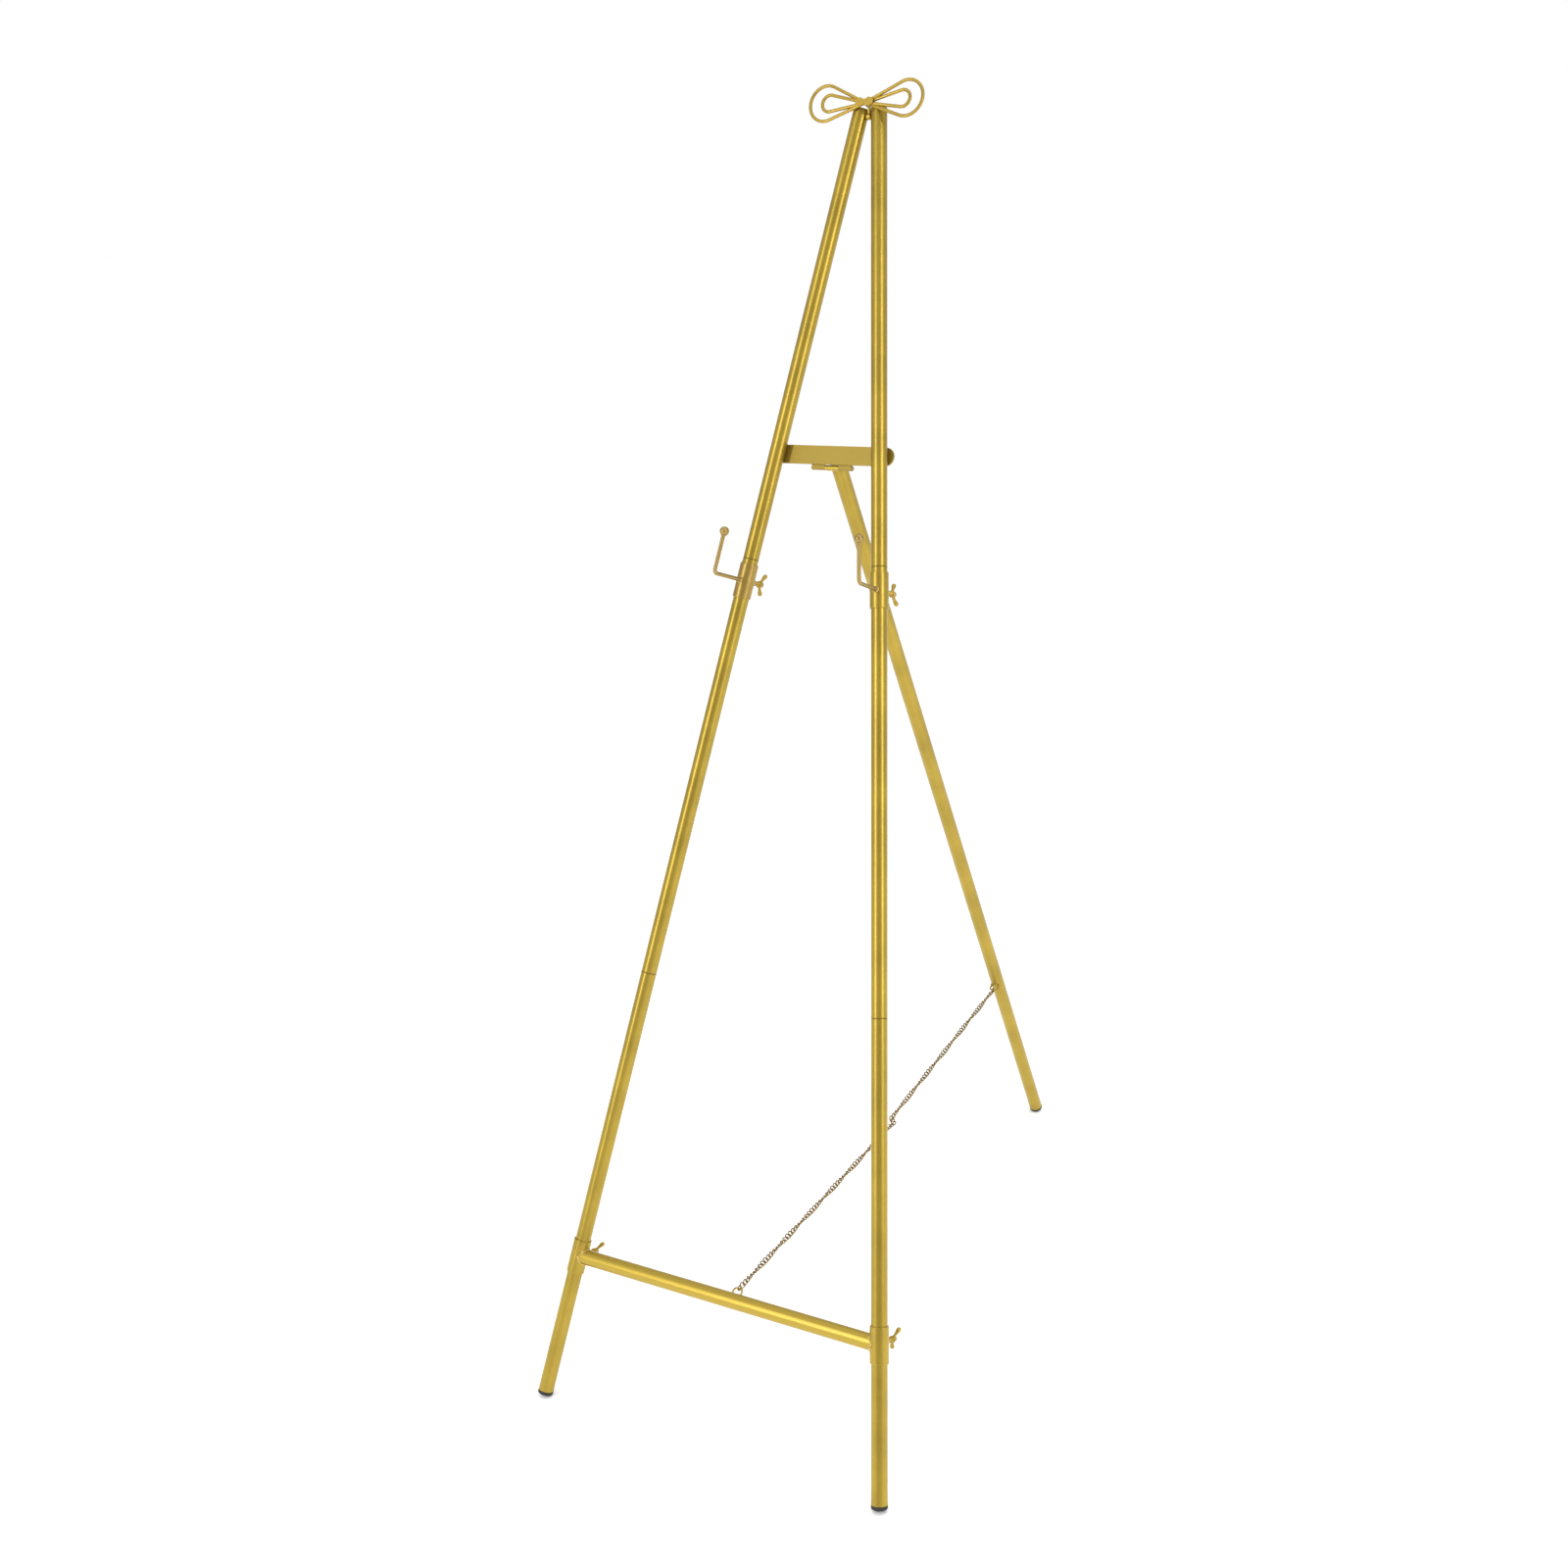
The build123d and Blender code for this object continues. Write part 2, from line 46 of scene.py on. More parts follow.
ON_AXIS = 0.001 * MM              # radius of a turned point that closes a shape on its axis

TUBE_R = 9.5 * MM
TUBE_WALL = 1.2 * MM
LEG_LENGTH = 1603.0 * MM
PLUG_CAP = 5.0 * MM
LOWER_SEAM = 547.0 * MM
UPPER_SEAM = 1063.0 * MM
SEAM_EDGE = 0.5 * MM
SPIGOT_R = 8.2 * MM
SPIGOT_WALL = 1.0 * MM
SPIGOT_LENGTH = 45.0 * MM
SPIGOT_OVERLAP = 2.0 * MM
SPIGOT_EDGE = 0.5 * MM
REAR_OFFSET = 13.5 * MM           # the rear leg's axis behind the hinge pin
LEAF_DROP = 4.5 * MM
LEAF_GAP = 0.05 * MM

SLEEVE_R = 11.0 * MM
SLEEVE_BORE_R = 9.65 * MM
SLEEVE_LENGTH = 42.0 * MM
SLEEVE_EDGE = 0.6 * MM
BOSS_R = 5.0 * MM
BOSS_BORE_R = 3.05 * MM
BOSS_ROOT = 10.2 * MM
BOSS_END = 16.0 * MM

SCREW_TIP = 9.56 * MM
THREAD_CORE_R = 2.55 * MM
THREAD_CREST_R = 2.95 * MM
THREAD_PITCH = 1.0 * MM
THREAD_START = 10.3 * MM
THREAD_END = 28.4 * MM
HUB_OUTLINE = ((3.6, 29.2), (4.2, 30.0), (4.2, 32.6), (3.8, 34.6), (3.5, 36.2), (2.6, 37.0))
HUB_TOP = 37.2 * MM
WING_ROOT = 32.4 * MM
WING_RISE = 6.6 * MM
WING_INSIDE = 1.0 * MM
WING_SPAN = 10.0 * MM
WING_STEPS = 12
SCREW_TURN = {"left_hook": 4.0, "right_hook": -8.0, "left_bar": 23.0, "right_bar": 23.0}    # degrees

HOOK_REACH = 60.0 * MM
HOOK_RISE = 50.0 * MM
HOOK_BEND = 5.0 * MM
HOOK_TURN = math.radians(6.0)
HOOK_WIRE_R = 2.4 * MM
HOOK_WELD_R = 3.1 * MM
BALL_R = 5.6 * MM
COLLAR_OUTLINE = ((1.5, -0.8), (2.75, -0.6), (3.1, 0.5), (1.5, 0.9))
ARM_STEPS = 15
UPRIGHT_STEPS = 9

BAR_WELD_R = 1.25 * MM
BLOB_R = 2.3 * MM
BLOBS = ((-0.70, 0.68), (-0.86, -0.42), (0.72, -0.66))    # back and up, in tube radii

EYE_R = 5.8 * MM
EYE_WIRE_R = 1.2 * MM
EYE_RISE = 7.3 * MM
EYE_CORNER = 3.3 * MM
EYE_ROOT = -2.2 * MM
EYE_FOOT_OUTLINE = ((2.3, -2.2), (2.2, -0.6), (1.5, 0.5), (1.0, 0.9))
EYE_FOOT_DEPTH = -2.4 * MM
EYE_FOOT_DROP = 0.6 * MM
BAR_EYE_TILT = math.radians(50.0)
REAR_EYE_DOWN = 908.0 * MM

LINK_PITCH = 5.9 * MM
LINK_WIRE_R = 0.80 * MM
LINK_HALF = 0.8 * MM
LINK_RING_R = 3.0 * MM
LINK_TWIST = -0.42                # how far each end of a link is turned against its middle
LINK_ROLL = 0.33                  # slow turn of the whole chain, per link
MIDDLE_ROLL = 0.3
END_GAP = 0.75                    # last link's middle to the end of its half, in pitches
END_RING_R = 3.6 * MM
CHAIN_ASIDE = 3.9 * MM            # how far each half ends to its own side of the middle

BOW_WIRE_R = 2.0 * MM
BOW_UP = 1589.5 * MM
BOW_AHEAD = 12.75 * MM
BOW_TILT = math.radians(2.7)
BOW_LOOPS = ((54.0 * MM, 21.0 * MM), (48.7 * MM, 9.8 * MM))    # knot to end centre, end radius
BOW_CROSSING = 0.8 * MM           # how far strands stand off each other at the knot
BOW_PARTED = 30.0 * MM            # from the knot to where they lie in one plane
STRAND_STEPS = 9
KNOT_HALF = ((0, 3.0), (5.5, 5.6), (9.5, 4.6), (12.0, 2.2), (11.2, -2.6), (6.5, -5.2), (1.2, -4.2), (0, -2.6))
KNOT_AHEAD = 4.0 * MM
KNOT_THICKNESS = 1.5 * MM
KNOT_EDGE = 0.3 * MM

UNSHADED_FROM = 0.5 * MM             # a tube's rounded rim keeps its painted shade to within this
# painted shade in seams and tube bores: how far it reaches from a rim, and how strong it is
PAINTED_SHADE_REACH = 0.5 * MM
PAINTED_SHADE_AMOUNT = 0.65
SIDES = ((-1, "left"), (1, "right"))


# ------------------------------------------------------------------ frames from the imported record
def find(kind, name):
    return next(item for item in frame["record"][kind] if item["name"] == name)


def joint(name):
    return next(item for item in frame["joints"] if item["name"] == name)


def joint_at(name):
    return Vector(joint(name)["pos_m"])


def matrix(origin, x, y, z):
    """A frame with the given origin and axes."""
    m = Matrix.Identity(4)
    for column, axis in enumerate((x, y, z)):
        for row in range(3):
            m[row][column] = axis[row]
    m.translation = origin
    return m


X = Vector((1, 0, 0))
Z = Vector((0, 0, 1))
left_up = -Vector(find("mounts", "left_foot_rest")["axis"]).normalized()
right_up = -Vector(find("mounts", "right_foot_rest")["axis"]).normalized()
plane_up = (left_up + right_up).normalized()
plane_back = -X.cross(plane_up).normalized()


def leg_matrix(side):
    """Local Z up the leg from its foot, local Y out of the frame's back."""
    name = "right_foot_rest" if side > 0 else "left_foot_rest"
    up = right_up if side > 0 else left_up
    foot = Vector(find("mounts", name)["pos_m"])
    return matrix(foot, plane_back.cross(up).normalized(), plane_back, up)


LEG = {side: leg_matrix(side) for side, _ in SIDES}
feet_line = (LEG[-1].translation + LEG[1].translation) / 2
FRONT = matrix(feet_line, X, plane_back, plane_up)
rear_down = Vector(find("mounts", "rear_foot_rest")["axis"]).normalized()
REAR = matrix(joint_at("rear_leg_fold"), X, X.cross(rear_down).normalized(), -rear_down)


def along_leg(name):
    """How far up the right leg a joint's point is."""
    return (joint_at(name) - LEG[1].translation).dot(LEG[1].col[2].to_3d())


HOOK_AT = along_leg("right_hook_screw_turn")
BAR_AT = along_leg("right_bar_screw_turn")
BAR_UP = (joint_at("right_bar_screw_turn") - feet_line).dot(plane_up)


def shifted(x, y, z):
    return Matrix.Translation((x, y, z))


def turned(angle, axis):
    return Matrix.Rotation(angle, 4, axis)


# ------------------------------------------------------------------ materials
FLAKE_SCALE = 1700
DRIFT_SCALE = 22
GRAIN_SCALE = 900
PEEL_SCALE = 420
SPARKLE = ((0.0, (0.80, 0.80, 0.80)), (0.6, (1, 1, 1)), (1.0, (1.22, 1.2, 1.1)))
# dark brown of the painted shade in seams and bores
PAINTED_SHADE_COLOUR = (0.10, 0.062, 0.012, 1)
SCUFFS = ((0.35, (0.010, 0.010, 0.011)), (0.60, (0.020, 0.020, 0.021)), (0.80, (0.070, 0.068, 0.064)))


def new_material(name):
    material = bpy.data.materials.new(name)
    material.use_nodes = True
    nodes = material.node_tree.nodes
    return material, nodes, material.node_tree.links, nodes["Principled BSDF"]


def ramp(nodes, links, source, stops):
    node = nodes.new("ShaderNodeValToRGB")
    links.new(source, node.inputs["Fac"])
    elements = node.color_ramp.elements
    while len(elements) < len(stops):
        elements.new(0.5)
    for element, (place, colour) in zip(elements, stops):
        element.position = place
        element.color = (*colour, 1)
    return node.outputs["Color"]


def noise(nodes, links, coords, scale, detail, roughness=0.55):
    node = nodes.new("ShaderNodeTexNoise")
    node.inputs["Scale"].default_value = scale
    node.inputs["Detail"].default_value = detail
    node.inputs["Roughness"].default_value = roughness
    links.new(coords, node.inputs["Vector"])
    return node.outputs["Fac"]


def mixed(nodes, links, factor, a, b, blend="MIX"):
    """Two colours mixed. The factor and each colour may be a socket or a value."""
    node = nodes.new("ShaderNodeMix")
    node.data_type = "RGBA"
    node.blend_type = blend
    for socket, value in (("Factor", factor), ("A", a), ("B", b)):
        if isinstance(value, bpy.types.NodeSocket):
            links.new(value, node.inputs[socket])
        else:
            node.inputs[socket].default_value = value
    return node.outputs["Result"]


def mapped(nodes, links, source, low, high):
    node = nodes.new("ShaderNodeMapRange")
    node.inputs["To Min"].default_value = low
    node.inputs["To Max"].default_value = high
    links.new(source, node.inputs["Value"])
    return node.outputs["Result"]


def bumped(nodes, links, height, strength, distance, below=None):
    node = nodes.new("ShaderNodeBump")
    node.inputs["Strength"].default_value = strength
    node.inputs["Distance"].default_value = distance
    links.new(height, node.inputs["Height"])
    if below is not None:
        links.new(below, node.inputs["Normal"])
    return node.outputs["Normal"]


def gold_paint(name, colour, roughness, speckle, metallic=0.82):
    """Satin metallic gold: flake speckle, orange peel, slow tone drift, rubbed edges, and painted shade in seams
    and bores.
    """
    material, nodes, links, shader = new_material(name)
    coords = nodes.new("ShaderNodeTexCoord").outputs["Object"]
    flakes = nodes.new("ShaderNodeTexVoronoi")
    flakes.inputs["Scale"].default_value = FLAKE_SCALE
    links.new(coords, flakes.inputs["Vector"])
    darker = tuple(c * 0.86 for c in colour)
    lighter = tuple(min(1, c * 1.13) for c in colour)
    drift = noise(nodes, links, coords, DRIFT_SCALE, 4)
    base = ramp(nodes, links, drift, ((0.30, darker), (0.50, colour), (0.72, lighter)))
    sparkle = ramp(nodes, links, flakes.outputs["Color"], SPARKLE)
    speckled = mixed(nodes, links, 0.55 * speckle, base, sparkle, "MULTIPLY")
    edge = nodes.new("ShaderNodeNewGeometry").outputs["Pointiness"]
    rubbed = ramp(nodes, links, edge, ((0.50, (0, 0, 0)), (0.62, (1, 1, 1))))
    worn = mixed(nodes, links, rubbed, speckled, (*lighter, 1))
    # painted shade: darkens the paint towards dark brown where the mesh's per-vertex painted shade is set
    painted_shade = nodes.new("ShaderNodeAttribute")
    painted_shade.attribute_name = "painted_shade"
    with_painted_shade = mixed(nodes, links, painted_shade.outputs["Fac"], worn, PAINTED_SHADE_COLOUR)
    links.new(with_painted_shade, shader.inputs["Base Color"])
    grain = noise(nodes, links, coords, GRAIN_SCALE, 2)
    links.new(mapped(nodes, links, grain, roughness - 0.06, roughness + 0.08), shader.inputs["Roughness"])
    shader.inputs["Metallic"].default_value = metallic
    shader.inputs["Coat Weight"].default_value = 0.15
    shader.inputs["Coat Roughness"].default_value = 0.22
    peel = bumped(nodes, links, noise(nodes, links, coords, PEEL_SCALE, 2), 0.05 * speckle, 0.4 * MM)
    fine = bumped(nodes, links, flakes.outputs["Distance"], 0.06 * speckle, 0.2 * MM, peel)
    links.new(fine, shader.inputs["Normal"])
    return material


def rubber():
    """Matt black rubber with mould speckle and dusty scuffs."""
    material, nodes, links, shader = new_material("foot_rubber")
    coords = nodes.new("ShaderNodeTexCoord").outputs["Object"]
    scuff = noise(nodes, links, coords, 160, 5, 0.7)
    links.new(ramp(nodes, links, scuff, SCUFFS), shader.inputs["Base Color"])
    links.new(mapped(nodes, links, scuff, 0.55, 0.85), shader.inputs["Roughness"])
    grit = bumped(nodes, links, noise(nodes, links, coords, 1800, 3), 0.25, 0.4 * MM)
    links.new(grit, shader.inputs["Normal"])
    return material


TUBE_GOLD = gold_paint("tube_gold", (0.395, 0.278, 0.038), 0.36, 0.4)
SLEEVE_GOLD = gold_paint("sleeve_gold", (0.400, 0.280, 0.040), 0.36, 0.8)
PALE_SLEEVE_GOLD = gold_paint("pale_sleeve_gold", (0.360, 0.245, 0.060), 0.36, 1.2)
HOOK_GOLD = gold_paint("hook_gold", (0.340, 0.232, 0.070), 0.38, 0.2)
FITTING_GOLD = gold_paint("fitting_gold", (0.390, 0.264, 0.042), 0.40, 0.15)
# a darker copy of the tube gold, as painted shade on the flat strip and the fixed hinge leaf
SHADED_STRIP_GOLD = gold_paint("shaded_strip_gold", (0.285, 0.203, 0.036), 0.50, 0.3)
CHAIN_GOLD = gold_paint("chain_gold", (0.230, 0.150, 0.042), 0.28, 0.1, 0.95)
FASTENER_GOLD = gold_paint("fastener_gold", (0.330, 0.230, 0.055), 0.28, 0.1, 0.95)
# a lighter, paler copy of the gold: painted highlight on all the weld beads and blobs
HIGHLIT_WELD_GOLD = gold_paint("highlit_weld_gold", (0.520, 0.390, 0.120), 0.22, 0.5)
RUBBER = rubber()


# ------------------------------------------------------------------ mesh tools
def make_piece(name, shape, material, body, replaces=(), sharp=35, painted_shade=None):
    """A shaded mesh object that rides on a body and stands for CAD nodes.

    The last argument tells, for a point of the mesh, how much painted shade lies there."""
    verts, faces = shape
    mesh = bpy.data.meshes.new(name)
    mesh.from_pydata([tuple(v) for v in verts], [], faces)
    clean = bmesh.new()
    clean.from_mesh(mesh)
    bmesh.ops.remove_doubles(clean, verts=clean.verts, dist=1e-7)
    bmesh.ops.recalc_face_normals(clean, faces=clean.faces)
    clean.to_mesh(mesh)
    clean.free()
    # per-vertex painted shade, which the paint mixes towards dark brown
    if painted_shade:
        layer = mesh.attributes.new("painted_shade", "FLOAT", "POINT")
        for vertex, value in zip(mesh.vertices, layer.data):
            value.value = painted_shade(vertex.co)
    mesh.shade_smooth()
    mesh.set_sharp_from_angle(angle=math.radians(sharp))
    piece = bpy.data.objects.new(name, mesh)
    bpy.context.scene.collection.objects.link(piece)
    mesh.materials.append(material)
    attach(piece, body)
    if replaces:
        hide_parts(*replaces)


def merged(*shapes):
    """Several (verts, faces) shapes as one."""
    verts, faces = [], []
    for shape_verts, shape_faces in shapes:
        start = len(verts)
        verts.extend(shape_verts)
        faces.extend([tuple(i + start for i in face) for face in shape_faces])
    return verts, faces


def moved(m, shape):
    verts, faces = shape
    return [m @ Vector(v) for v in verts], faces


def scaled(outline):
    """An outline given in millimetres, in metres."""
    return [(a * MM, b * MM) for a, b in outline]


def lathe(profile, count=96, closed=True):
    """Turns (radius, height) points about local Z. A closed profile makes a tube."""
    verts, faces = [], []
    rows = len(profile)
    for i in range(count):
        turn = 2 * math.pi * i / count
        for radius, height in profile:
            verts.append((radius * math.cos(turn), radius * math.sin(turn), height))
    spans = rows if closed else rows - 1
    for i in range(count):
        j = (i + 1) % count
        for k in range(spans):
            n = (k + 1) % rows
            faces.append((i * rows + k, j * rows + k, j * rows + n, i * rows + n))
    return verts, faces


def rounded(radius, height, out, up, edge, steps=4):
    """Points of a rounded corner; out and up give which way the corner faces."""
    points = []
    for i in range(steps + 1):
        turn = math.pi / 2 * i / steps
        r = radius - out * edge + out * edge * math.cos(turn)
        z = height - up * edge + up * edge * math.sin(turn)
        points.append((r, z))
    return points


def seam_painted_shade(m, radius, rims=()):
    """Painted shade on a tube's inside, and close to those of its end rims that meet another tube."""
    back = m.inverted()

    def painted_shade(point):
        local = back @ point
        inside = math.hypot(local.x, local.y) < radius
        near_rim = any(abs(local.z - rim) < PAINTED_SHADE_REACH for rim in rims)
        return PAINTED_SHADE_AMOUNT if inside or near_rim else 0.0

    return painted_shade


def tube(radius, inner, start, end, edge=0.35 * MM, inner_edge=0.2 * MM):
    """A tube with rounded rims."""
    # an extra ring this far from each rim keeps the painted shade at a seam from spreading along the tube
    clean = edge + UNSHADED_FROM
    outer_top = [(radius, end - clean), *rounded(radius, end, 1, 1, edge)]
    outer_bottom = [*rounded(radius, start, 1, -1, edge)[::-1], (radius, start + clean)]
    inner_top = rounded(inner, end, -1, 1, inner_edge)[::-1]
    inner_bottom = rounded(inner, start, -1, -1, inner_edge)
    return lathe(outer_bottom + outer_top + inner_top + inner_bottom)


def with_domes(rings):
    """A wire's rings, with the rings of a domed end before and after them."""
    p, t, s, r = rings[0]
    first = [(p - t * r * math.sin(a), t, s, r * math.cos(a)) for a in (1.45, 1.15, 0.8, 0.4)]
    p, t, s, r = rings[-1]
    last = [(p + t * r * math.sin(a), t, s, r * math.cos(a)) for a in (0.4, 0.8, 1.15, 1.45)]
    return first + rings + last


def sweep(points, radius, count=16, closed=False):
    """A round wire along points, domed at its ends unless closed.

    radius may be one value or one per point."""
    points = [Vector(p) for p in points]
    total = len(points)
    radii = [radius] * total if isinstance(radius, float) else list(radius)
    tangents = []
    for i in range(total):
        before = points[i - 1] if i or closed else points[i]
        after = points[(i + 1) % total] if i < total - 1 or closed else points[i]
        tangents.append((after - before).normalized())
    side = tangents[0].orthogonal().normalized()
    sides = []
    for t in tangents:
        side = (side - t * side.dot(t)).normalized()
        sides.append(side)
    rings = list(zip(points, tangents, sides, radii))
    if not closed:
        rings = with_domes(rings)
    verts, faces = [], []
    for p, t, s, r in rings:
        other = t.cross(s)
        for k in range(count):
            turn = 2 * math.pi * k / count
            verts.append(p + s * r * math.cos(turn) + other * r * math.sin(turn))
    rows = len(rings)
    for i in range(rows if closed else rows - 1):
        j = (i + 1) % rows
        for k in range(count):
            n = (k + 1) % count
            faces.append((i * count + k, i * count + n, j * count + n, j * count + k))
    if not closed:
        faces.append(tuple(range(count))[::-1])
        faces.append(tuple((rows - 1) * count + k for k in range(count)))
    return verts, faces


def ball(radius, rows=20, count=32):
    """A sphere of quads about the origin."""
    profile = []
    for i in range(rows + 1):
        turn = -math.pi / 2 + math.pi * i / rows
        profile.append((max(radius * math.cos(turn), ON_AXIS), radius * math.sin(turn)))
    return lathe(profile, count, closed=False)


def arc(centre, radius, start, end, steps, u, v):
    """Points on a circular arc in the plane of unit vectors u and v."""
    points = []
    for i in range(steps + 1):
        turn = start + (end - start) * i / steps
        points.append(centre + u * radius * math.cos(turn) + v * radius * math.sin(turn))
    return points


def weld_bead(path, radius, ripple=0.18, pitch=1.6 * MM):
    """A rippled weld fillet along a closed path."""
    length = sum((Vector(b) - Vector(a)).length for a, b in zip(path, path[1:]))
    ripples = max(6, round(length / pitch))
    radii = []
    for i in range(len(path)):
        phase = 2 * math.pi * ripples * i / len(path)
        radii.append(radius * (1 + ripple * math.sin(phase)))
    return sweep(path, radii, 12, closed=True)


# ------------------------------------------------------------------ legs
def leg_section(start, end, has_spigot):
    body = tube(TUBE_R, TUBE_R - TUBE_WALL, start, end, SEAM_EDGE)
    if not has_spigot:
        return body
    low, high = start - SPIGOT_LENGTH, start + SPIGOT_OVERLAP
    spigot = tube(SPIGOT_R, SPIGOT_R - SPIGOT_WALL, low, high, SPIGOT_EDGE)
    return merged(body, spigot)


LEG_SECTIONS = (
    ("lower", PLUG_CAP, LOWER_SEAM, [LOWER_SEAM]),
    ("middle", LOWER_SEAM, UPPER_SEAM, [LOWER_SEAM, UPPER_SEAM]),
    ("upper", UPPER_SEAM, LEG_LENGTH, [UPPER_SEAM]),
)
for side, name in SIDES:
    for label, start, end, seams in LEG_SECTIONS:
        node = f"{name}_leg_{label}"
        shape = moved(LEG[side], leg_section(start, end, label != "lower"))
        # painted shade inside the tube and at the rims where its sections meet
        painted_shade_at = seam_painted_shade(LEG[side], TUBE_R - 1.0 * MM, seams)
        make_piece(f"{node}_tube", shape, TUBE_GOLD, "front_frame", [node], painted_shade=painted_shade_at)


def rear_leg_shape():
    """The rear tube, from the hinge leaf down to where its CAD mesh ends."""
    axis = REAR @ shifted(0, REAR_OFFSET, 0)
    heights = [(v.co - axis.translation).dot(-rear_down) for v in frame["nodes"]["rear_leg"].data.vertices]
    return moved(axis, tube(TUBE_R, TUBE_R - TUBE_WALL, min(heights), -LEAF_DROP - LEAF_GAP))


make_piece("rear_leg_tube", rear_leg_shape(), TUBE_GOLD, "rear_leg_body", ["rear_leg"])


# ------------------------------------------------------------------ sleeves, hooks and wing screws
def sleeve_shape(place):
    """A sleeve with a threaded boss on its back."""
    body = tube(SLEEVE_R, SLEEVE_BORE_R, -SLEEVE_LENGTH / 2, SLEEVE_LENGTH / 2, SLEEVE_EDGE)
    outline = [(BOSS_BORE_R, BOSS_ROOT), (BOSS_R + 0.6 * MM, BOSS_ROOT), (BOSS_R, 11.6 * MM)]
    outline += rounded(BOSS_R, BOSS_END, 1, 1, 0.5 * MM)
    outline += [(3.4 * MM, BOSS_END), (BOSS_BORE_R, BOSS_END - 0.4 * MM)]
    boss = moved(turned(-math.pi / 2, "X"), lathe(outline, 64))
    return moved(place, merged(body, boss))


def boss_weld(place):
    """The fillet where the boss meets the sleeve, following the sleeve's curve."""
    points = []
    for i in range(96):
        turn = 2 * math.pi * i / 96
        x = (BOSS_R + 0.3 * MM) * math.cos(turn)
        z = (BOSS_R + 0.3 * MM) * math.sin(turn)
        points.append(place @ Vector((x, math.sqrt(SLEEVE_R**2 - x**2) + 0.1 * MM, z)))
    return weld_bead(points, 0.85 * MM)


def screw_outline():
    """Half the wing screw's turned outline: tip, cut thread and hub."""
    outline = [(ON_AXIS, SCREW_TIP), (2.1 * MM, SCREW_TIP), (THREAD_CORE_R, 10.1 * MM)]
    height = THREAD_START
    while height < THREAD_END:
        outline.append((THREAD_CORE_R, height))
        outline.append((THREAD_CREST_R, height + 0.42 * THREAD_PITCH))
        outline.append((THREAD_CREST_R, height + 0.55 * THREAD_PITCH))
        height += THREAD_PITCH
    return outline + [(THREAD_CORE_R, 28.7 * MM), *scaled(HUB_OUTLINE), (ON_AXIS, HUB_TOP)]


def wing(sign):
    """One forged wing, rising outward, waisted in the middle."""
    path, radii = [], []
    for i in range(WING_STEPS + 1):
        t = i / WING_STEPS
        path.append((0, WING_ROOT + WING_RISE * t**1.25, sign * (WING_INSIDE + WING_SPAN * t)))
        radii.append((2.5 - 0.75 * math.sin(math.pi * min(1, t * 1.15)) + 0.25 * t) * MM)
    return sweep(path, radii, 20)


def wing_screw_shape(place, turn):
    shaft = moved(turned(-math.pi / 2, "X"), lathe(screw_outline(), 48, closed=False))
    return moved(place @ turned(turn, "Y"), merged(shaft, wing(-1), wing(1)))


def hook_shape(place):
    """Hook wire from a flared root, along the arm, round the bend and up into the ball."""
    out = Vector((0, -1, 0))
    path, radii = [], []
    for i in range(ARM_STEPS + 1):
        t = i / ARM_STEPS
        path.append(out * (SLEEVE_R - 0.4 * MM + t * (HOOK_REACH - HOOK_BEND - SLEEVE_R)))
        radii.append(HOOK_WIRE_R * (1 + 0.55 * math.exp(-t * 26)))
    centre = out * (HOOK_REACH - HOOK_BEND) + Z * HOOK_BEND
    bend = arc(centre, HOOK_BEND, 0, math.pi / 2, 12, -Z, out)[1:]
    path += bend
    radii += [HOOK_WIRE_R] * len(bend)
    for i in range(1, UPRIGHT_STEPS + 1):
        rise = HOOK_BEND + (HOOK_RISE - HOOK_BEND) * i / UPRIGHT_STEPS
        path.append(out * HOOK_REACH + Z * rise)
        radii.append(HOOK_WIRE_R)
    wire = sweep(path, radii, 24)
    knob = moved(Matrix.Translation(out * HOOK_REACH + Z * HOOK_RISE), ball(BALL_R))
    collar_at = Matrix.Translation(out * HOOK_REACH + Z * (HOOK_RISE - BALL_R + 0.25 * MM))
    collar = moved(collar_at, lathe(scaled(COLLAR_OUTLINE), 40))
    return moved(place, merged(wire, knob, collar))


def hook_weld(place):
    points = []
    for i in range(48):
        turn = 2 * math.pi * i / 48
        x, z = HOOK_WELD_R * math.cos(turn), HOOK_WELD_R * math.sin(turn)
        points.append(place @ Vector((x, -SLEEVE_R - 0.15 * MM, z)))
    return weld_bead(points, 1.0 * MM)


def add_sleeve(key, place, paint, body):
    """A sleeve with its boss weld, and the wing screw in the boss."""
    # painted shade inside the sleeve's bore
    painted_shade_at = seam_painted_shade(place, SLEEVE_R - 0.9 * MM)
    sleeve = sleeve_shape(place)
    make_piece(f"{key}_sleeve_tube", sleeve, paint, body, [f"{key}_sleeve"], painted_shade=painted_shade_at)
    make_piece(f"{key}_boss_weld", boss_weld(place), HIGHLIT_WELD_GOLD, body)
    screw = wing_screw_shape(place, math.radians(SCREW_TURN[key]))
    node = f"{key}_wing_screw"
    make_piece(f"{node}_forged", screw, FITTING_GOLD, f"{key}_wing", [node])


def add_hook(side, name):
    """A hook with its ball, on the front of its sleeve."""
    place = LEG[side] @ shifted(0, 0, HOOK_AT) @ turned(side * HOOK_TURN, "Z")
    nodes = [f"{name}_wire", f"{name}_ball"]
    make_piece(f"{name}_rod", hook_shape(place), HOOK_GOLD, name, nodes)
    make_piece(f"{name}_weld", hook_weld(place), HIGHLIT_WELD_GOLD, name)


for side, name in SIDES:
    hook_paint = PALE_SLEEVE_GOLD if name == "left" else SLEEVE_GOLD
    add_sleeve(f"{name}_hook", LEG[side] @ shifted(0, 0, HOOK_AT), hook_paint, f"{name}_hook")
    add_sleeve(f"{name}_bar", LEG[side] @ shifted(0, 0, BAR_AT), SLEEVE_GOLD, "front_frame")
    add_hook(side, f"{name}_hook")

